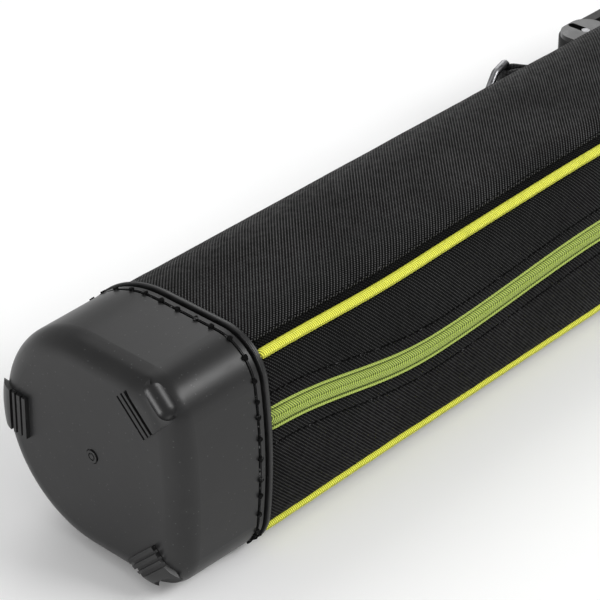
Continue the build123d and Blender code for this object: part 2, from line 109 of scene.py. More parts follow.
# ---- the section that the cover follows --------------------------------------------------------
corner_v = HALF_HEIGHT - CORNER_RADIUS
corner_u = FRONT_RADIUS - sqrt((FRONT_RADIUS - CORNER_RADIUS) ** 2 - corner_v ** 2)
front_turn = atan2(corner_v, FRONT_RADIUS - corner_u)
front_radius = FRONT_RADIUS - FABRIC_INSET
corner_radius = CORNER_RADIUS - FABRIC_INSET
back_radius = HALF_HEIGHT - FABRIC_INSET
front_length = front_radius * front_turn
corner_length = corner_radius * (pi / 2 - front_turn)
side_length = AXIS_U - corner_u
HALF_GIRTH = front_length + corner_length + side_length + back_radius * pi / 2
SEAM_AT = front_length + corner_radius * (radians(PIPING_ANGLE) - front_turn)


def section(s):
    """The point and outward direction s mm round the cover from the middle of its front, upwards."""
    s = (s + HALF_GIRTH) % (2 * HALF_GIRTH) - HALF_GIRTH
    side = -1 if s < 0 else 1
    s = abs(s)
    if s < front_length:
        turn = s / front_radius
        across, up = -cos(turn), sin(turn)
        return FRONT_RADIUS + front_radius * across, side * front_radius * up, across, side * up
    s -= front_length
    if s < corner_length:
        turn = front_turn + s / corner_radius
        across, up = -cos(turn), sin(turn)
        return corner_u + corner_radius * across, side * (corner_v + corner_radius * up), across, side * up
    s -= corner_length
    if s < side_length:
        return corner_u + s, side * back_radius, 0.0, side * 1.0
    turn = pi / 2 - (s - side_length) / back_radius
    across, up = cos(turn), sin(turn)
    return AXIS_U + back_radius * across, side * back_radius * up, across, side * up


def on_cover(a, s, lift):
    """A point lift mm above the cover's outer face."""
    u, v, out_u, out_v = section(s)
    return row(a, u + out_u * lift, v + out_v * lift)


def steps(start, end, count):
    return [start + (end - start) * number / count for number in range(count + 1)]


def bump(x, centre, width):
    return exp(-((x - centre) / width) ** 2)


def ripple(a, s, size, seed=0.0):
    """Smooth noise from -1 to 1 with features of about size mm."""
    return noise.noise(Vector((a / size, s / size, seed)))


def zip_height(a):
    """How high the pocket zip runs, as in the CAD: it dips near the boot, then runs level."""
    if a < ZIP_LOW_AT:
        along = (a - ZIP_DIP_FROM) / (ZIP_LOW_AT - ZIP_DIP_FROM)
        return ZIP_LOW + ZIP_DROP * (1 + cos(pi * along)) / 2
    if a < ZIP_LEVEL_FROM:
        along = (a - ZIP_LOW_AT) / (ZIP_LEVEL_FROM - ZIP_LOW_AT)
        return ZIP_LOW + ZIP_RISE * (1 - cos(pi * along)) / 2
    return ZIP_LOW + ZIP_RISE


def seam(a, side):
    """Where the piping runs: hand sewn, so it wanders a little."""
    wander = 0.9 * bump(a, 240, 70) - 1.1 * bump(a, 115, 40) + 0.5 * ripple(a, side * 40, 130)
    return side * (SEAM_AT + wander)


# ---- shader building ---------------------------------------------------------------------------
class Shader:
    """A material with short calls for its nodes. Values that don't vary go straight on the shader."""

    def __init__(self, name, color, roughness, **sockets):
        self.material = bpy.data.materials.new(name)
        self.material.use_nodes = True
        self.tree = self.material.node_tree
        self.surface = self.tree.nodes["Principled BSDF"]
        self.surface.inputs["Base Color"].default_value = (*color, 1.0)
        self.surface.inputs["Roughness"].default_value = roughness
        for socket, value in sockets.items():
            self.surface.inputs[socket.replace("_", " ")].default_value = value

    def node(self, kind, **inputs):
        made = self.tree.nodes.new(kind)
        for socket, value in inputs.items():
            self.feed(made.inputs[socket.replace("_", " ")], value)
        return made

    def feed(self, socket, value):
        if isinstance(value, bpy.types.NodeSocket):
            self.tree.links.new(value, socket)
        else:
            socket.default_value = value

    def math(self, operation, *values):
        made = self.tree.nodes.new("ShaderNodeMath")
        made.operation = operation
        for socket, value in zip(made.inputs, values):
            self.feed(socket, value)
        return made.outputs[0]

    def uv(self):
        """The mesh's own coordinates in millimetres: along the piece, and across it."""
        made = self.node("ShaderNodeUVMap")
        made.uv_map = "cloth"
        parts = self.node("ShaderNodeSeparateXYZ", Vector=made.outputs["UV"])
        return tuple(self.math("MULTIPLY", parts.outputs[name], 1 / MM) for name in ("X", "Y"))

    def place(self, scale=(1.0, 1.0, 1.0)):
        made = self.node("ShaderNodeTexCoord")
        mapping = self.node("ShaderNodeMapping", Vector=made.outputs["Object"])
        mapping.inputs["Scale"].default_value = scale
        return mapping.outputs["Vector"]

    def noise(self, scale, detail=3.0, roughness=0.55, stretch=(1.0, 1.0, 1.0)):
        """Cloudy noise, scale features to the metre."""
        made = self.node("ShaderNodeTexNoise", Vector=self.place(stretch))
        made.inputs["Scale"].default_value = scale
        made.inputs["Detail"].default_value = detail
        made.inputs["Roughness"].default_value = roughness
        return made.outputs["Fac"]

    def specks(self, scale, size):
        """1 inside scattered round specks, 0 elsewhere."""
        made = self.node("ShaderNodeTexVoronoi", Vector=self.place())
        made.inputs["Scale"].default_value = scale
        return self.math("LESS_THAN", made.outputs["Distance"], size)

    def span(self, value, low, high, to_low=0.0, to_high=1.0):
        made = self.node("ShaderNodeMapRange", Value=value)
        limits = {"From Min": low, "From Max": high, "To Min": to_low, "To Max": to_high}
        for socket, number in limits.items():
            made.inputs[socket].default_value = number
        return made.outputs["Result"]

    def wave(self, phase):
        """A sine from 0 to 1 that repeats each time phase grows by 1."""
        return self.span(self.math("SINE", self.math("MULTIPLY", phase, 2 * pi)), -1.0, 1.0)

    def mix(self, share, first, second):
        made = self.node("ShaderNodeMix")
        made.data_type = "RGBA"
        self.feed(made.inputs["Factor"], share)
        for socket, value in ((made.inputs[6], first), (made.inputs[7], second)):
            self.feed(socket, value if isinstance(value, bpy.types.NodeSocket) else (*value, 1.0))
        return made.outputs[2]

    def color(self, value):
        self.feed(self.surface.inputs["Base Color"], value)

    def roughness(self, value):
        self.feed(self.surface.inputs["Roughness"], value)

    def relief(self, height, depth_mm, strength=1.0):
        """Bumps depth_mm deep where height goes from 0 to 1."""
        made = self.node("ShaderNodeBump", Height=height)
        made.inputs["Distance"].default_value = depth_mm * MM
        made.inputs["Strength"].default_value = strength
        previous = self.surface.inputs["Normal"].links
        if previous:
            self.tree.links.new(previous[0].from_socket, made.inputs["Normal"])
        self.tree.links.new(made.outputs["Normal"], self.surface.inputs["Normal"])


def twill_fabric(name, lean, painted_light_scale=1.0):
    """Black polyester twill. Its diagonal ribs run along a and lean times across. Its colour follows the
    ribs: painted highlight on their tops, painted shade in the grooves. A last argument below 1 gives a
    darker copy of the same cloth, painted shade.
    """
    shader = Shader(name, (0.01, 0.01, 0.01), 0.7, Specular_IOR_Level=0.05)
    along, across = shader.uv()
    pitch = 1.2
    # colour of the painted highlight on the rib tops, scaled down for the painted-shade copies
    rib_highlight = 0.108 * painted_light_scale
    turned = shader.math("MULTIPLY", across, float(lean))
    rib_phase = shader.math("DIVIDE", shader.math("SUBTRACT", along, turned), pitch * sqrt(2))
    float_phase = shader.math("DIVIDE", shader.math("ADD", along, turned), 1.1 * sqrt(2))
    rib = shader.wave(rib_phase)
    offset = shader.math("MULTIPLY", shader.math("FLOOR", rib_phase), 0.38)
    stitch = shader.wave(shader.math("ADD", float_phase, offset))
    yarn = shader.math("MULTIPLY", rib, shader.span(stitch, 0.0, 1.0, 0.55, 1.0))
    fuzz = shader.noise(2600.0, 2.0)
    height = shader.math("ADD", yarn, shader.math("MULTIPLY", fuzz, 0.35))
    # painted highlight and shade: the colour goes from near black in the grooves to the highlight colour on
    # the rib tops
    tone = shader.math("MULTIPLY", height, shader.span(shader.noise(28.0), 0.3, 0.7, 0.9, 1.02))
    share = shader.span(tone, 0.62, 1.15)
    shader.color(shader.mix(share, (0.0008, 0.0008, 0.0008), (rib_highlight, rib_highlight, rib_highlight)))
    shader.roughness(shader.span(shader.noise(300.0), 0.3, 0.7, 0.5, 0.75))
    shader.relief(height, 0.3, 1.0)
    return shader.material


def moulded_rubber():
    """Semi-matt black moulding with fine grain, faint flow marks, scuffs and dust specks."""
    shader = Shader("moulded_rubber", (0.01, 0.01, 0.01), 0.4, Specular_IOR_Level=0.3)
    cloud = shader.noise(22.0, 4.0)
    scuff = shader.span(shader.noise(95.0, 6.0, 0.7, (0.25, 1.0, 1.0)), 0.6, 0.74)
    dust = shader.specks(330.0, 0.1)
    base = shader.mix(shader.span(cloud, 0.3, 0.7), (0.009, 0.009, 0.0092), (0.0135, 0.0135, 0.0137))
    worn = shader.mix(shader.math("MULTIPLY", scuff, 0.3), base, (0.03, 0.03, 0.03))
    shader.color(shader.mix(shader.math("MULTIPLY", dust, 0.25), worn, (0.12, 0.12, 0.12)))
    wear = shader.math("MULTIPLY", scuff, 0.1)
    shader.roughness(shader.math("ADD", shader.span(cloud, 0.3, 0.7, 0.3, 0.4), wear))
    shader.relief(shader.noise(1900.0, 2.0), 0.03, 0.35)
    shader.relief(shader.noise(60.0, 2.0), 0.35, 0.25)
    return shader.material


def corded_satin():
    """Lime satin tape wrapped on a cord, with slanted ridges. Its colour follows them: painted highlight on
    the ridge tops, painted shade in the valleys between them.
    """
    shader = Shader("corded_satin", (0.6, 0.72, 0.06), 0.45, Specular_IOR_Level=0.3)
    along, across = shader.uv()
    slant = shader.math("ADD", along, shader.math("MULTIPLY", across, 0.3))
    fuzz = shader.math("MULTIPLY", shader.noise(1400.0, 2.0), 0.25)
    ridge = shader.wave(shader.math("ADD", shader.math("DIVIDE", slant, 0.95), fuzz))
    thread = shader.wave(shader.math("DIVIDE", across, 0.32))
    height = shader.math("ADD", ridge, shader.math("MULTIPLY", thread, 0.2))
    # painted shade in the valleys, painted highlight on the ridge tops
    tone = shader.mix(shader.span(height, 0.05, 0.85), (0.3, 0.34, 0.012), (1.0, 1.0, 0.11))
    soil = shader.span(shader.noise(160.0, 4.0), 0.55, 0.75, 0.0, 0.3)
    shader.color(shader.mix(soil, tone, (0.3, 0.34, 0.01)))
    shader.roughness(shader.span(ridge, 0.0, 1.0, 0.6, 0.38))
    shader.relief(height, 0.35, 1.0)
    return shader.material


def zip_weave():
    """Woven green zip tape. The stitches slant away from the middle line on both sides."""
    shader = Shader("zip_weave", (0.26, 0.38, 0.05), 0.5, Specular_IOR_Level=0.3)
    along, across = shader.uv()
    out = shader.math("ABSOLUTE", across)
    slant = shader.math("ADD", along, shader.math("MULTIPLY", out, 0.9))
    stitch = shader.wave(shader.math("DIVIDE", slant, 1.25))
    wale = shader.wave(shader.math("DIVIDE", across, 0.75))
    height = shader.math("ADD", stitch, shader.math("MULTIPLY", wale, 0.45))
    height = shader.math("ADD", height, shader.math("MULTIPLY", shader.noise(2300.0), 0.3))
    # painted highlight on the tape's raised edge, from 3.9 mm out, and painted shade in the groove just
    # inside it
    ridge = shader.span(out, 3.9, 4.5)
    groove_shade = shader.math("MULTIPLY", shader.span(out, 3.0, 3.5), shader.span(out, 3.9, 4.3, 1.0, 0.0))
    # the colour follows the stitch relief: painted shade between the stitches, painted highlight on them
    tone = shader.mix(shader.span(height, 0.35, 1.35), (0.06, 0.085, 0.012), (0.52, 0.66, 0.12))
    tone = shader.mix(shader.math("MULTIPLY", ridge, 0.5), tone, (0.5, 0.62, 0.13))
    shader.color(shader.mix(shader.math("MULTIPLY", groove_shade, 0.8), tone, (0.02, 0.035, 0.002)))
    shader.roughness(shader.span(stitch, 0.0, 1.0, 0.62, 0.42))
    shader.relief(height, 0.35, 1.0)
    return shader.material


def flat_webbing():
    """Black ribbed webbing: rows across its width, with a fine lengthwise thread."""
    shader = Shader("flat_webbing", (0.01, 0.01, 0.01), 0.62, Specular_IOR_Level=0.25)
    along, across = shader.uv()
    rows = shader.wave(shader.math("DIVIDE", along, 1.3))
    slant = shader.math("ADD", shader.math("DIVIDE", across, 1.6), shader.math("DIVIDE", along, 2.6))
    threads = shader.wave(slant)
    height = shader.math("ADD", shader.math("MULTIPLY", rows, 0.7), shader.math("MULTIPLY", threads, 0.5))
    height = shader.math("ADD", height, shader.math("MULTIPLY", shader.noise(2300.0), 0.3))
    # the colour follows the weave's relief: painted shade in the hollows, painted highlight on the raised
    # rows and threads
    shader.color(shader.mix(shader.span(height, 0.2, 1.3), (0.001, 0.001, 0.001), (0.028, 0.028, 0.029)))
    shader.roughness(shader.span(shader.noise(240.0), 0.3, 0.7, 0.5, 0.72))
    shader.relief(height, 0.25, 0.8)
    return shader.material


def twisted_thread():
    """Black bonded thread, lightened in places by lint."""
    shader = Shader("twisted_thread", (0.002, 0.002, 0.002), 0.75, Specular_IOR_Level=0.05)
    along, across = shader.uv()
    twist = shader.wave(shader.math("ADD", shader.math("DIVIDE", along, 0.9), across))
    lint = shader.span(shader.noise(420.0, 4.0), 0.6, 0.68)
    # the colour follows the twist: painted shade in its grooves
    base = shader.mix(twist, (0.0005, 0.0005, 0.0005), (0.004, 0.004, 0.004))
    shader.color(shader.mix(shader.math("MULTIPLY", lint, 0.3), base, (0.25, 0.25, 0.25)))
    shader.relief(twist, 0.12, 0.9)
    return shader.material


def enamelled_metal():
    """Black enamel on a zip slider, chipped to grey metal here and there."""
    shader = Shader("enamelled_metal", (0.02, 0.02, 0.022), 0.3)
    chip = shader.span(shader.noise(520.0, 5.0, 0.65), 0.62, 0.66)
    shader.color(shader.mix(chip, (0.018, 0.018, 0.02), (0.32, 0.31, 0.3)))
    shader.feed(shader.surface.inputs["Metallic"], chip)
    shader.roughness(shader.span(shader.noise(260.0, 4.0), 0.3, 0.7, 0.22, 0.4))
    shader.relief(shader.noise(1500.0, 2.0), 0.02, 0.4)
    return shader.material


def dark_nickel():
    """Black-nickel wire with fine polishing marks."""
    shader = Shader("dark_nickel", (0.2, 0.2, 0.205), 0.28, Metallic=1.0)
    marks = shader.noise(500.0, 5.0, 0.6, (0.2, 1.0, 1.0))
    shader.color(shader.mix(shader.span(marks, 0.35, 0.7), (0.12, 0.12, 0.125), (0.3, 0.3, 0.31)))
    shader.roughness(shader.span(marks, 0.3, 0.7, 0.2, 0.42))
    shader.relief(marks, 0.02, 0.4)
    return shader.material


def handle_moulding():
    """Glossy black handle plastic, a little frosted by handling."""
    shader = Shader("handle_moulding", (0.008, 0.008, 0.008), 0.25, Specular_IOR_Level=0.4)
    worn = shader.noise(70.0, 5.0, 0.6)
    shader.color(shader.mix(shader.span(worn, 0.35, 0.7), (0.004, 0.004, 0.004), (0.011, 0.011, 0.011)))
    shader.roughness(shader.span(worn, 0.3, 0.7, 0.2, 0.42))
    shader.relief(shader.noise(1300.0, 2.0), 0.03, 0.35)
    return shader.material


def grip_moulding():
    """The grip's matt top, spark-eroded to a fine grain."""
    shader = Shader("grip_moulding", (0.006, 0.006, 0.006), 0.55, Specular_IOR_Level=0.3)
    grain = shader.noise(1500.0, 3.0)
    shader.color(shader.mix(grain, (0.003, 0.003, 0.003), (0.011, 0.011, 0.011)))
    shader.roughness(shader.span(grain, 0.3, 0.7, 0.48, 0.64))
    shader.relief(grain, 0.09, 0.7)
    return shader.material


def extruded_plastic(name, dark, light, roughness):
    """Tube and sleeve plastic with faint draw lines along the extrusion."""
    shader = Shader(name, dark, roughness)
    lines = shader.noise(900.0, 3.0, 0.5, (0.01, 1.0, 1.0))
    shader.color(shader.mix(lines, dark, light))
    shader.roughness(shader.span(lines, 0.3, 0.7, roughness - 0.08, roughness + 0.08))
    shader.relief(lines, 0.04, 0.5)
    return shader.material


def closed_cell_foam():
    """Grey-black foam with cut cells."""
    shader = Shader("closed_cell_foam", (0.03, 0.03, 0.03), 0.92)
    cells = shader.node("ShaderNodeTexVoronoi", Vector=shader.place())
    cells.inputs["Scale"].default_value = 1100.0
    depth = cells.outputs["Distance"]
    # the colour follows the cell relief: painted shade in the cell hollows
    shader.color(shader.mix(shader.span(depth, 0.1, 0.7), (0.012, 0.012, 0.012), (0.055, 0.055, 0.056)))
    shader.roughness(shader.span(depth, 0.0, 0.7, 0.98, 0.85))
    shader.relief(depth, 0.35, 0.9)
    return shader.material


def plain_lining():
    """Thin plain-woven lining cloth."""
    shader = Shader("plain_lining", (0.03, 0.03, 0.031), 0.7)
    along, across = shader.uv()
    warp = shader.wave(shader.math("DIVIDE", along, 0.7))
    weft = shader.wave(shader.math("DIVIDE", across, 0.7))
    weave = shader.math("MULTIPLY", shader.math("ADD", warp, weft), 0.5)
    # the colour follows the weave's relief: painted shade where the threads dip, painted highlight where
    # they cross over
    shader.color(shader.mix(weave, (0.01, 0.01, 0.011), (0.045, 0.045, 0.047)))
    shader.roughness(shader.span(shader.noise(120.0), 0.3, 0.7, 0.62, 0.8))
    shader.relief(weave, 0.08, 0.7)
    return shader.material


boot_material = moulded_rubber()
back_twill = twill_fabric("twill_back", 1)
# the front panels take a darker copy of the same twill: painted shade for the faces that get less light
shaded_front_twill = twill_fabric("twill_front_painted_shade", -1, 0.45)
# the strip beside each piping takes a much darker copy of the twill: painted shade
shaded_binding_twill = twill_fabric("twill_binding_painted_shade", -1, 0.2)
piping_material = corded_satin()
zip_material = zip_weave()
webbing_material = flat_webbing()
thread_material = twisted_thread()
enamel_material = enamelled_metal()
nickel_material = dark_nickel()
handle_material = handle_moulding()
grip_material = grip_moulding()
tube_material = extruded_plastic("tube_plastic", (0.07, 0.07, 0.072), (0.12, 0.12, 0.122), 0.45)
sleeve_material = extruded_plastic("sleeve_plastic", (0.04, 0.04, 0.042), (0.075, 0.075, 0.077), 0.6)
foam_material = closed_cell_foam()
lining_material = plain_lining()


def paint(material, *names):
    """A better material on CAD nodes whose shape stays."""
    for name in names:
        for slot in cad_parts[name].material_slots:
            slot.material = material


paint(boot_material, "bottom_boot", "lid_cap")
paint(enamel_material, "pocket_zip_slider", "pocket_zip_pull", "pocket_zip_stop")
paint(enamel_material, "lid_zip_slider", "lid_zip_pull")
paint(nickel_material, "lower_strap_ring", "upper_strap_ring", "handle_pins")
paint(handle_material, "handle_bracket_lower", "handle_bracket_upper")
paint(grip_material, "handle_grip")
paint(tube_material, "tube_shell")
paint(sleeve_material, "lower_spacer_plate", "upper_spacer_plate", "butt_sleeve_front", "butt_sleeve_back")
for corner in ("lower_front", "upper_front", "lower_back", "upper_back"):
    paint(sleeve_material, f"shaft_sleeve_{corner}")


# ---- mesh building -----------------------------------------------------------------------------
def finish_mesh(name, points, faces, uvs, material, body, slot, nodes=()):
    """Makes the piece, smooth shaded, on its body, in place of the CAD nodes."""
    mesh = bpy.data.meshes.new(name)
    mesh.from_pydata(points, [], faces)
    layer = mesh.uv_layers.new(name="cloth")
    for loop in mesh.loops:
        layer.data[loop.index].uv = uvs[loop.vertex_index]
    mesh.polygons.foreach_set("use_smooth", [True] * len(mesh.polygons))
    mesh.materials.append(material)
    piece = bpy.data.objects.new(name, mesh)
    bpy.context.scene.collection.objects.link(piece)
    if body:
        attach(piece, body)
    if nodes:
        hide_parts(*nodes)
    return piece


def patch(stations, places, close=False):
    """Points, faces and coordinates of a grid: places(station) gives (point, (along, across)) in turn."""
    points, uvs, faces = [], [], []
    for station in stations:
        for point, uv in places(station):
            points.append(point)
            uvs.append((uv[0] * MM, uv[1] * MM))
    count = len(points) // len(stations)
    turns = count if close else count - 1
    for i in range(len(stations) - 1):
        for j in range(turns):
            k = (j + 1) % count
            faces.append((i * count + j, i * count + k, (i + 1) * count + k, (i + 1) * count + j))
    return points, faces, uvs


def joined(patches):
    """Several patches as one."""
    points, faces, uvs = [], [], []
    for more_points, more_faces, more_uvs in patches:
        start = len(points)
        points += more_points
        uvs += more_uvs
        faces += [tuple(start + index for index in face) for face in more_faces]
    return points, faces, uvs


def capped(made, ring_count):
    """Closes both ends of a tube whose rings have ring_count points."""
    points, faces, uvs = made
    last = len(points) - ring_count
    faces = faces + [tuple(range(ring_count))[::-1], tuple(range(last, last + ring_count))]
    return points, faces, uvs


def thicken(piece, thickness, offset=-1.0):
    solid = piece.modifiers.new("thickness", "SOLIDIFY")
    solid.thickness = thickness * MM
    solid.offset = offset
    return piece


def tube(path, radius, sides=10, squeeze=1.0, up=Vector((0, 0, 1))):
    """A tube along points in the row frame, with rounded ends."""
    rings = []
    length = 0.0
    for number, centre in enumerate(path):
        ahead = path[min(number + 1, len(path) - 1)]
        behind = path[max(number - 1, 0)]
        forward = (ahead - behind).normalized()
        side = forward.cross(up).normalized()
        top = side.cross(forward)
        if number:
            length += (centre - path[number - 1]).length / MM
        end = number in (0, len(path) - 1)
        size = radius * MM * (0.45 if end else 1.0)
        rings.append((centre, side * size, top * size * squeeze, length))

    def places(ring):
        centre, side, top, distance = ring
        return [(centre + side * cos(angle) + top * sin(angle), (distance, radius * angle))
                for angle in (2 * pi * step / sides for step in range(sides))]

    return capped(patch(rings, places, close=True), sides)


# ---- cover and front panels ----------------------------------------------------------------------
def dip(from_rim, from_zip):
    """How far fabric goes down near a rim and near the lid's zip."""
    return -1.9 * exp(-max(from_rim, 0.0) / 0.75) - 0.5 * exp(-max(from_zip, 0.0) / 0.8)


def rim_dip(a):
    return dip(a - RIM_AT, CASE_END - a)


def lid_dip(a):
    return dip(LID_RIM_AT - a, a - LID_START)


def seam_lift(distance, a, s):
    """Height of the fabric near a piped seam, distance mm from the piping's centre."""
    tuck = -1.5 * exp(-((distance - 1.5) / 1.1) ** 2)
    pucker = 0.22 * ripple(a, s, 7.0, 3.0) * bump(distance, 5.0, 3.5)
    return tuck + pucker


def fine_near(start, end, spots):
    """Stations from start to end: coarse, with a fine stretch at each (place, reach, step)."""
    stations = set(steps(start, end, round((end - start) / 3.2)))
    for spot, reach, step in spots:
        count = round(2 * reach / step)
        for number in range(count + 1):
            station = spot - reach + number * step
            if start <= station <= end:
                stations.add(round(station, 3))
    ordered = sorted(stations)
    kept = [ordered[0]]
    for station in ordered[1:]:
        if station - kept[-1] > 0.12:
            kept.append(station)
    return kept


# The cover's folded edge above the binding: (distance from the edge, lift above the cover).
HEM = [(0.5, -1.5), (0.1, -1.0), (0.0, -0.5), (0.1, -0.12), (0.4, 0.08),
       (0.9, 0.14), (1.6, 0.08), (2.6, 0.02), (4.5, 0.0), (7.0, 0.0)]


def back_girth(a):
    """Places round the back of the case and their lifts, from the upper hem to the lower one."""
    upper, lower = seam(a, 1), seam(a, -1) + 2 * HALF_GIRTH
    middle = steps(upper + 15, lower - 15, 76)
    upper_hem = [(upper + (BINDING_TO + distance), lift) for distance, lift in HEM]
    lower_hem = [(lower - (BINDING_TO + distance), lift) for distance, lift in reversed(HEM)]
    return upper_hem + [(s, 0.0) for s in middle] + lower_hem


def back_fabric(name, start, end, ends_dip, node, body):
    """Fabric from the upper seam, round the back, to the lower seam."""
    def places(a):
        found = []
        for s, lift in back_girth(a):
            distance = min(abs(s - seam(a, 1)), abs(s - 2 * HALF_GIRTH - seam(a, -1)))
            slack = 0.16 * ripple(a, s, 34.0, 1.0) + 0.1 * ripple(a, s, 11.0, 2.0)
            pucker = 0.2 * ripple(a, s, 6.0, 3.0) * bump(distance, BINDING_TO + 1.5, 3.5)
            lift += ends_dip(a) + pucker + slack * min(distance / 12, 1.0)
            found.append((on_cover(a, s, lift), (a, s)))
        return found

    spots = [(RIM_AT, 4.0, 0.35), (PARTING_AT, 3.0, 0.35), (LID_RIM_AT, 4.0, 0.35)]
    made = patch(fine_near(start, end, spots), places)
    piece = finish_mesh(name, *made, back_twill, body, "cover_fabric", [node])
    thicken(piece, 1.0, 1.0)
    return piece


back_fabric("cover_back", FABRIC_FROM, CASE_END, rim_dip, "main_cover", "case")
back_fabric("lid_back", LID_START, LID_RIM_AT + TUCK_IN, lid_dip, "lid_skirt_back", "lid")


def seam_binding(name, start, end, ends_dip, body):
    """The strip that shows between each piping and the cover's folded edge. Its dark colour is painted
    shade.
    """
    profile = [(1.5, -1.7), (1.9, -1.1), (2.5, -0.85), (3.5, -0.8), (4.5, -0.85), (BINDING_TO, -0.95),
               (BINDING_TO + 0.9, -1.1)]

    def strip_of(side):
        def places(a):
            found = []
            for distance, lift in profile:
                s = seam(a, side) + side * distance
                height = lift + ends_dip(a) + 0.12 * ripple(a, s, 5.0, 31.0)
                found.append((on_cover(a, s, height), (a, s)))
            return found if side > 0 else found[::-1]

        return patch(steps(start, end, max(12, round((end - start) / 3.0))), places)

    made = joined([strip_of(1), strip_of(-1)])
    return finish_mesh(name, *made, shaded_binding_twill, body, "cover_fabric")


seam_binding("seam_binding_case", RIM_AT, CASE_END, rim_dip, "case")
seam_binding("seam_binding_lid", LID_START, LID_RIM_AT, lid_dip, "lid")

# The folded edge beside the zip: (distance from the edge, lift above the cover).
FOLD = [(0.9, -2.3), (0.35, -1.9), (0.05, -1.3), (0.0, -0.7), (0.2, -0.15), (0.6, 0.15),
        (1.2, 0.28), (2.4, 0.32), (4.0, 0.3), (5.0, 0.18), (5.5, -0.02), (5.8, -0.22),
        (6.0, -0.3), (6.2, -0.22), (6.5, -0.04), (7.0, 0.06), (8.0, 0.06)]


def front_fabric(name, side, node):
    """The panel above (+1) or below (-1) the zip, from its folded edge to the piping."""
    def places(a):
        edge = zip_height(a) + side * ZIP_SLOT / 2
        far = seam(a, side)
        span = abs(far - edge)
        rows = list(FOLD)
        rows += [(d, 0.0) for d in steps(9.5, span - 10.0, 8)]
        rows += [(span - d, 0.0) for d in (8.0, 6.2, 5.2, 4.8, 4.4, 4.1, 3.7, 3.2, 2.7, 2.3, 2.0, 1.7)]
        found = []
        for distance, lift in rows:
            s = edge + side * distance
            lift += rim_dip(a) + seam_lift(span - distance, a, s)
            lift += 0.18 * ripple(a, s, 12.0, 5.0) * min(span - distance, distance + 2.0, 9.0) / 9.0
            lift += 0.12 * ripple(a, s, 3.6, 6.0) * bump(distance, TOPSTITCH_AT, 1.6)
            found.append((on_cover(a, s, lift), (a, s)))
        return found if side > 0 else found[::-1]

    stations = fine_near(FABRIC_FROM, CASE_END, [(RIM_AT, 4.0, 0.35), (PARTING_AT, 3.0, 0.35)])
    piece = finish_mesh(name, *patch(stations, places), shaded_front_twill, "case", "cover_fabric", [node])
    thicken(piece, 0.9, 1.0)
    middle_at = 400
    width = abs(seam(middle_at, side) - zip_height(middle_at)) - ZIP_SLOT / 2 + FOLD_ALLOWANCE
    return piece


front_fabric("front_upper", 1, "front_panel_upper")
front_fabric("front_lower", -1, "front_panel_lower")


def lid_front():
    """The lid's front fabric, from one piping to the other."""
    def places(a):
        found = []
        for share in steps(-1.0, 1.0, 56):
            s = (SEAM_AT - 1.7) * share
            lift = lid_dip(a) + seam_lift(SEAM_AT - abs(s), a, s) + 0.15 * ripple(a, s, 12.0, 5.0)
            found.append((on_cover(a, s, lift), (a, s)))
        return found

    end = LID_RIM_AT + TUCK_IN
    stations = fine_near(LID_START, end, [(PARTING_AT, 3.0, 0.35), (LID_RIM_AT, 4.0, 0.35)])
    made = patch(stations, places)
    piece = finish_mesh("lid_front", *made, shaded_front_twill, "lid", "cover_fabric", ["lid_skirt_front"])
    thicken(piece, 1.0, 1.0)
    return piece


lid_front()


# ---- piping --------------------------------------------------------------------------------------
def piping(start, end, side):
    """One length of piping with its own slight wander, sunk a little into the cover where it is sewn in."""
    path = []
    for a in steps(start, end, max(8, round((end - start) / 2.4))):
        lift = -PIPING_SINKS + 0.12 * ripple(a, side * 9, 9.0, 8.0)
        path.append(on_cover(a, seam(a, side), lift))
    return tube(path, PIPING_RADIUS, sides=20)


for side, level in ((1, "upper"), (-1, "lower")):
    made = piping(RIM_AT - 0.4, PARTING_AT - ZIP_TAPE_WIDTH - 0.2, side)
    finish_mesh(f"piping_cord_{level}", *made, piping_material, "case", "piping_lime", [f"piping_{level}"])
lid_cords = joined([piping(PARTING_AT + ZIP_TAPE_WIDTH + 0.2, LID_RIM_AT + 0.4, side) for side in (1, -1)])
finish_mesh("lid_piping_cords", *lid_cords, piping_material, "lid", "piping_lime", ["lid_pipings"])

# ---- pocket zip ----------------------------------------------------------------------------------
# Half of its profile: (distance from the middle line, lift above the cover).
ZIP_HALF = [(0.0, -0.75), (0.3, -0.35), (0.7, -0.08), (1.4, 0.0), (2.2, -0.02), (2.9, -0.15),
            (3.2, -0.5), (3.5, -1.1), (3.8, -1.05), (4.05, -0.55), (4.35, -0.22), (4.8, -0.15),
            (5.2, -0.3), (5.6, -0.9), (6.1, -1.4), (8.5, -1.5)]


def zip_profile():
    return [(-distance, lift) for distance, lift in reversed(ZIP_HALF)] + ZIP_HALF[1:]


def zip_lift(distance, lift, a):
    """Presses the zip down into the rim and lets it rise and fall a little."""
    return lift + 0.12 * ripple(a, distance, 16.0, 9.0) - 1.6 * exp(-max(a - RIM_AT, 0.0) / 1.5)


def pocket_zip():
    def places(a):
        return [(on_cover(a, zip_height(a) + d, zip_lift(d, lift, a)), (a, d)) for d, lift in zip_profile()]

    stations = fine_near(RIM_AT, PARTING_AT - 3.0, [(RIM_AT, 4.0, 0.5)])
    made = patch(stations, places)
    nodes = ["pocket_zip_tape", "pocket_zip_coil"]
    piece = finish_mesh("pocket_zip", *made, zip_material, "case", "zip_green", nodes)
    return thicken(piece, 0.5, 1.0)


pocket_zip()


# ---- lid zip -------------------------------------------------------------------------------------
LID_ZIP_HALF = [(0.25, 0.1), (0.35, 0.9), (0.8, 1.3), (1.5, 1.4), (2.1, 1.2), (2.5, 0.75),
                (3.2, 0.62), (5.0, 0.62), (7.0, 0.55), (7.8, 0.3), (8.2, -0.35)]
LID_TOOTH_PITCH = 1.6
LID_TOOTH = [(2.3, 1.1), (1.2, 1.42), (0.35, 1.35), (0.2, 0.95)]


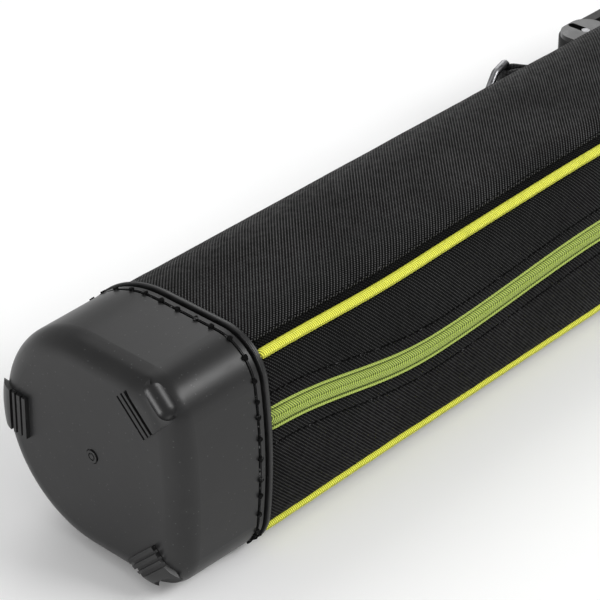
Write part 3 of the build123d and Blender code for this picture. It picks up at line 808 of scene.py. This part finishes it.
def lid_zip(name, side, node, body):
    """One side of the lid's zip, round the section from one end of the hinge strip to the other."""
    gap = HINGE_HALF_WIDTH + 1.5

    def places(s):
        return [(on_cover(PARTING_AT + side * d, s, lift), (s, d + 0.6)) for d, lift in LID_ZIP_HALF][::side]

    stations = steps(-HALF_GIRTH + gap, HALF_GIRTH - gap, 230)
    piece = finish_mesh(name, *patch(stations, places), zip_material, body, "zip_green", [node])
    return thicken(piece, 0.4, 1.0)


lid_zip("lid_zip_edge_case", -1, "lid_zip_case_side", "case")
lid_zip("lid_zip_edge_lid", 1, "lid_zip_lid_side", "lid")


def zip_teeth(name, side, body):
    """The coil of the lid's zip: small loops that reach just over the parting line."""
    gap = HINGE_HALF_WIDTH + 3.0
    count = round((2 * HALF_GIRTH - 2 * gap) / LID_TOOTH_PITCH)
    teeth = []
    for number in range(count):
        s = -HALF_GIRTH + gap + LID_TOOTH_PITCH * (number + (0.25 if side > 0 else 0.75))
        path = [on_cover(PARTING_AT + side * d, s, lift) for d, lift in LID_TOOTH]
        teeth.append(tube(path, 0.42, sides=6, up=Vector((0.3, 0.5, 0.8))))
    finish_mesh(name, *joined(teeth), zip_material, body, "zip_green")


zip_teeth("lid_zip_teeth_case", -1, "case")
zip_teeth("lid_zip_teeth_lid", 1, "lid")


# ---- stitching -----------------------------------------------------------------------------------
def dashes(line, start, end, stitch, gap, radius, sink=0.25):
    """Stitches along line(t), which gives a point sunk that much: dashes that dip at both ends."""
    made = []
    position = start
    while position + stitch < end:
        lifts = (-sink, 0.0, 0.12, 0.12, 0.0, -sink)
        path = [line(position + stitch * number / 5, lift) for number, lift in enumerate(lifts)]
        made.append(tube(path, radius, sides=6, up=Vector((0.37, 0.51, 0.77))))
        position += stitch + gap
    return joined(made)


def topstitch(side):
    return dashes(
        lambda a, lift: on_cover(a, zip_height(a) + side * (ZIP_SLOT / 2 + TOPSTITCH_AT), lift - 0.1),
        RIM_AT + 1.5, PARTING_AT - 2.5, 2.6, 0.7, 0.26,
    )


def seam_stitch(side):
    return dashes(
        lambda a, lift: on_cover(a, seam(a, side) + side * (BINDING_TO + 1.1), lift + 0.1),
        RIM_AT + 1.5, PARTING_AT - 9.0, 2.6, 0.7, 0.26,
    )


sewing = joined([topstitch(1), topstitch(-1), seam_stitch(1), seam_stitch(-1)])
finish_mesh("cover_topstitching", *sewing, thread_material, "case", "thread_black")


# ---- hand sewing round the boot and the lid cap ---------------------------------------------------
STITCH_LINE_AT = 41.6
BOOT_LIFT = FABRIC_INSET - 0.8 - 0.45      # of the thread's centre above the cover's face
HOLE_PITCH = 8.74


def hole_places():
    """Uneven places round the girth where the needle went in."""
    count = round(2 * HALF_GIRTH / HOLE_PITCH)
    return [HOLE_PITCH * (number + 0.28 * ripple(number * 3.7, 0.0, 1.3, 11.0)) for number in range(count)]


# A knot, as rings: (share of its radius, lift above the boot's face).
KNOT_RINGS = [(0.02, 0.05), (0.4, 0.05), (0.75, 0.04), (0.95, 0.0), (1.0, -0.7)]


def knot(at, s):
    """A knot pulled down flush with the boot's face, where it fills its needle hole."""
    radius = 1.15 + 0.2 * ripple(s, 0.0, 3.0, 29.0)
    shift = 0.35 * ripple(s, 0.0, 5.0, 27.0)

    def places(ring):
        share, lift = ring
        found = []
        for angle in (2 * pi * step / 12 for step in range(12)):
            out = share * radius * (1.0 + 0.12 * sin(3 * angle + s))
            point = at(STITCH_LINE_AT + shift + out * cos(angle), s + out * sin(angle), FABRIC_INSET + lift)
            found.append((point, (out, radius * angle)))
        return found

    return patch(KNOT_RINGS, places, close=True)


def boot_sewing(name, mirrored, node, body):
    """Thread from hole to hole in the groove, with a knot at each hole."""
    def at(a, s, lift):
        return on_cover(CASE_LENGTH - a if mirrored else a, s, lift)

    parts = []
    places = hole_places()
    for number, s in enumerate(places):
        following = places[number + 1] if number + 1 < len(places) else places[0] + 2 * HALF_GIRTH
        sideways = 0.3 * ripple(s, 0.0, 4.0, 13.0)
        path = []
        for share in steps(0.0, 1.0, 10):
            drop = -0.9 * (bump(share, 0.0, 0.07) + bump(share, 1.0, 0.07))
            a = STITCH_LINE_AT + sideways * sin(pi * share)
            path.append(at(a, s + (following - s) * share, BOOT_LIFT + drop + 0.12 * sin(pi * share)))
        parts.append(tube(path, 0.36, sides=8, up=Vector((1, 0, 0))))
        parts.append(knot(at, s))
    finish_mesh(name, *joined(parts), thread_material, body, "thread_black", [node])


boot_sewing("boot_sewing", False, "bottom_boot_thread", "case")
boot_sewing("lid_sewing", True, "lid_cap_thread", "lid")


def finishing_knot():
    """The backstitches and loose ends where the sewing closes, at the boot's lower front corner."""
    parts = []
    for strand in range(5):
        s = -front_length - 6.0 - 1.3 * strand
        path = [on_cover(STITCH_LINE_AT - 1.6 + 3.2 * share, s + 1.5 * ripple(share * 4, strand * 7.0, 1.0),
                         BOOT_LIFT + 0.1 + 0.7 * sin(pi * share))
                for share in steps(0.0, 1.0, 8)]
        parts.append(tube(path, 0.38, sides=7, up=Vector((0.3, 0.5, 0.8))))
    for strand in range(2):
        root = -front_length - 8.0 - 3.0 * strand
        path = [on_cover(STITCH_LINE_AT + 1.0 + 5.5 * share, root - 4.0 * share * share,
                         BOOT_LIFT + 0.7 + 0.5 * sin(pi * share))
                for share in steps(0.0, 1.0, 9)]
        parts.append(tube(path, 0.34, sides=7, up=Vector((0.3, 0.5, 0.8))))
    finish_mesh("boot_finishing_knot", *joined(parts), thread_material, "case", "thread_black")


finishing_knot()


# ---- webbing: strap tabs and the lid's hinge strip ------------------------------------------------
def over_back(a, height, v, curl=1.0):
    """A point height mm above the middle line of the back; curl follows the round of the cover."""
    drop = curl * (back_radius - sqrt(back_radius ** 2 - v ** 2))
    return row(a, BACK_U + height - drop, v)


def strip(path, half_width, rows=14):
    """Webbing along a path of (a, height, curl), as wide as half_width to each side."""
    distance = 0.0
    stations = []
    for number, (a, height, curl) in enumerate(path):
        if number:
            distance += hypot(a - path[number - 1][0], height - path[number - 1][1])
        stations.append((a, height, curl, distance))

    def places(station):
        a, height, curl, along = station
        return [(over_back(a, height, v, curl), (along, v)) for v in steps(-half_width, half_width, rows)]

    return patch(stations, places)


def tab_path():
    """From the tail's end, up over the ring's bar, round it, and back under to the tail's end."""
    bar, height = RING_BARS[0], 9.6
    path = [(a, 2.75 + 0.1 * sin(a), 1.0) for a in steps(363.0, 342.0, 10)]
    path += [(339.0, 3.1, 0.95), (336.0, 4.4, 0.8), (333.5, 7.0, 0.5), (331.3, 10.2, 0.2)]
    radius = 3.5
    for angle in steps(25.0, 262.0, 14):
        path.append((bar + radius * cos(radians(angle)), height + radius * sin(radians(angle)), 0.0))
    path += [(328.2, 5.4, 0.15), (331.2, 3.6, 0.5), (334.5, 1.9, 0.85)]
    path += [(a, 1.15, 1.0) for a in steps(338.0, 362.0, 8)]
    return path


def mirrored_path(path, middle):
    return [(2 * middle - a, height, curl) for a, height, curl in path]


def box_stitch(start, end, half_width, height, body, name):
    """A box with a cross in it, sewn through webbing on the back."""
    corners = [(start, -half_width), (end, -half_width), (end, half_width), (start, half_width)]
    runs = [(corners[number], corners[(number + 1) % 4]) for number in range(4)]
    runs += [(corners[0], corners[2]), (corners[1], corners[3])]
    parts = []
    for (a, v), (next_a, next_v) in runs:
        length = hypot(next_a - a, next_v - v)

        def line(position, lift):
            share = position / length
            return over_back(a + (next_a - a) * share, height + lift, v + (next_v - v) * share)

        parts.append(dashes(line, 0.3, length, 2.3, 0.6, 0.28))
    return finish_mesh(name, *joined(parts), thread_material, body, "thread_black")


middle = sum(RING_BARS) / 2
tail = (342.0, 361.0)
for level in ("lower", "upper"):
    path = tab_path() if level == "lower" else mirrored_path(tab_path(), middle)
    made = strip(path, WEBBING_HALF_WIDTH)
    tab = finish_mesh(f"strap_webbing_{level}", *made, webbing_material, "case", "webbing",
                      [f"{level}_strap_tab"])
    thicken(tab, 1.4, 0.0)
    ends = tail if level == "lower" else tuple(2 * middle - a for a in tail)
    box_stitch(*ends, WEBBING_HALF_WIDTH - 3.0, 3.55, "case", f"strap_stitching_{level}")

hinge_path = [(a, 1.05 + 0.5 * bump(a, PARTING_AT, 4.0), 1.0) for a in steps(735.0, 789.0, 54)]
hinge = finish_mesh("hinge_strip", *strip(hinge_path, HINGE_HALF_WIDTH), webbing_material, None, "webbing")
thicken(hinge, 1.0, 0.0)
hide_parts("hinge_strip_case_leaf", "hinge_strip_lid_leaf")
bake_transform(hinge)
box_stitch(738.0, 752.0, HINGE_HALF_WIDTH - 2.5, 1.65, "case", "hinge_stitching_case")
box_stitch(773.0, 786.0, HINGE_HALF_WIDTH - 2.5, 1.65, "lid", "hinge_stitching_lid")


# ---- foam, linings and pads ----------------------------------------------------------------------
def foam_corner(side):
    """Foam in the corner between the round tube and the D-shaped cover."""
    inset = -2.6
    outer_from, outer_to = 34.0, front_length + corner_length + side_length - 2.0
    inner_radius = TUBE_RADIUS + TUBE_FOAM_GAP

    def places(a):
        found = []
        for s in steps(outer_from, outer_to, 22):
            u, v, out_u, out_v = section(s)
            lift = inset + 0.2 * ripple(a, s, 14.0, 17.0)
            found.append((row(a, u + out_u * lift, side * (v + out_v * lift)), (a, s)))
        for angle in steps(92.0, 139.0, 16):
            u = AXIS_U + inner_radius * cos(radians(angle))
            v = inner_radius * sin(radians(angle))
            found.append((row(a, u, side * v), (a, angle)))
        return found if side > 0 else found[::-1]

    stations = steps(9.0, PARTING_AT - 1.2, 90)
    return capped(patch(stations, places, close=True), 40)


foam = finish_mesh("foam_corners", *joined([foam_corner(1), foam_corner(-1)]), foam_material, "case", "foam",
                   ["foam_padding"])


def pocket_lining():
    """Cloth at the back of the pocket, slightly creased."""
    start, end, half_width, back = 52.0, 756.0, 31.5, 7.5

    def places(a):
        found = []
        for v in steps(-half_width, half_width, 24):
            found.append((row(a, back - 0.35 * abs(ripple(a, v, 19.0, 21.0)), v), (a, v)))
        return found

    piece = finish_mesh("pocket_back_cloth", *patch(steps(start, end, 220), places), lining_material,
                        "case", "lining_cloth", ["pocket_lining"])
    thicken(piece, 0.3, 0.0)
    return piece


pocket_lining()


def round_pad(name, near, far, radius, node, body):
    """A foam pad covered in cloth: crowned on both faces, with a welt round its edge."""
    half = abs(far - near) / 2
    centre = (near + far) / 2
    shares = [0.0, 0.12, 0.25, 0.4, 0.55, 0.7, 0.82, 0.9, 0.95]

    def profile():
        rim = [(0.985, 0.72), (1.0, 0.3), (1.004, 0.0), (1.0, -0.3), (0.985, -0.72)]
        front = [(share, 0.8 + 0.2 * sqrt(1 - share ** 2)) for share in shares]
        back = [(share, -height) for share, height in reversed(front)]
        return front + rim + back

    def places(angle):
        found = []
        for share, height in profile():
            dent = 0.12 * ripple(share * 30 * cos(angle), share * 30 * sin(angle), 9.0, 23.0)
            a = centre + half * (height * (1 - abs(dent)))
            across, up = radius * share * cos(angle), radius * share * sin(angle)
            found.append((row(a, AXIS_U + across, up), (across, up)))
        return found

    made = patch(steps(0.0, 2 * pi, 72), places)
    piece = finish_mesh(name, *made, lining_material, body, "foam", [node])
    return piece


round_pad("base_cushion", 8.2, 12.7, 43.8, "base_pad", "case")
round_pad("lid_cushion", CASE_LENGTH - 2.6, CASE_LENGTH - 8.2, 38.0, "lid_pad", "lid")

# ---- camera, lights and floor ---------------------------------------------------------------------
CAMERA_AZIMUTH = radians(-46.76)
CAMERA_ELEVATION = radians(32.53)
CAMERA_ROLL = radians(-0.58)
CAMERA_DISTANCE = 0.949
CAMERA_LENS = 150.0

camera_data = bpy.data.cameras.new("camera")
camera_data.lens = CAMERA_LENS
camera_data.sensor_width = 36.0
camera_data.clip_end = 20.0
camera = bpy.data.objects.new("camera", camera_data)
bpy.context.scene.collection.objects.link(camera)
bpy.context.scene.camera = camera
bpy.context.scene.view_settings.view_transform = "Standard"
aim = row(76.7, 12.3, HALF_HEIGHT)
turned = Matrix.Rotation(CAMERA_AZIMUTH, 4, "Z") @ Matrix.Rotation(pi / 2 - CAMERA_ELEVATION, 4, "X")
camera.matrix_world = (
    Matrix.Translation(aim) @ turned @ Matrix.Rotation(CAMERA_ROLL, 4, "Z")
    @ Matrix.Translation((0, 0, CAMERA_DISTANCE))
)


def soft_light(name, position, target, size, power):
    data = bpy.data.lights.new(name, "AREA")
    data.shape = "RECTANGLE"
    data.size, data.size_y = size
    data.energy = power
    light = bpy.data.objects.new(name, data)
    light.location = position
    light.rotation_euler = (Vector(target) - Vector(position)).to_track_quat("-Z", "Y").to_euler()
    bpy.context.scene.collection.objects.link(light)


soft_light("key", (0.7, -1.5, 1.5), (-0.2, 0.0, 0.05), (1.3, 0.7), 32.0)
soft_light("fill", (-2.2, -0.3, 0.3), (-0.4, 0.0, 0.05), (1.2, 0.6), 24.0)
soft_light("top", (0.1, 0.9, 1.8), (0.0, 0.0, 0.1), (2.0, 0.9), 7.0)
soft_light("back", (1.6, 1.3, 1.0), (0.0, 0.0, 0.05), (1.2, 1.2), 10.0)

world = bpy.data.worlds.new("studio")
world.use_nodes = True
world.node_tree.nodes["Background"].inputs["Color"].default_value = (1.0, 1.0, 1.0, 1.0)
world.node_tree.nodes["Background"].inputs["Strength"].default_value = 0.53
bpy.context.scene.world = world


def floor():
    shader = Shader("pale_floor", (0.93, 0.93, 0.93), 0.7)
    tone = shader.span(shader.noise(3.0, 2.0), 0.3, 0.7)
    shader.color(shader.mix(tone, (0.92, 0.92, 0.92), (0.94, 0.94, 0.94)))
    mesh = bpy.data.meshes.new("floor")
    reach = 6.0
    corners = [(-reach, -reach, 0), (reach, -reach, 0), (reach, reach, 0), (-reach, reach, 0)]
    mesh.from_pydata(corners, [], [(0, 1, 2, 3)])
    mesh.materials.append(shader.material)
    ground = bpy.data.objects.new("floor", mesh)
    bpy.context.scene.collection.objects.link(ground)


floor()
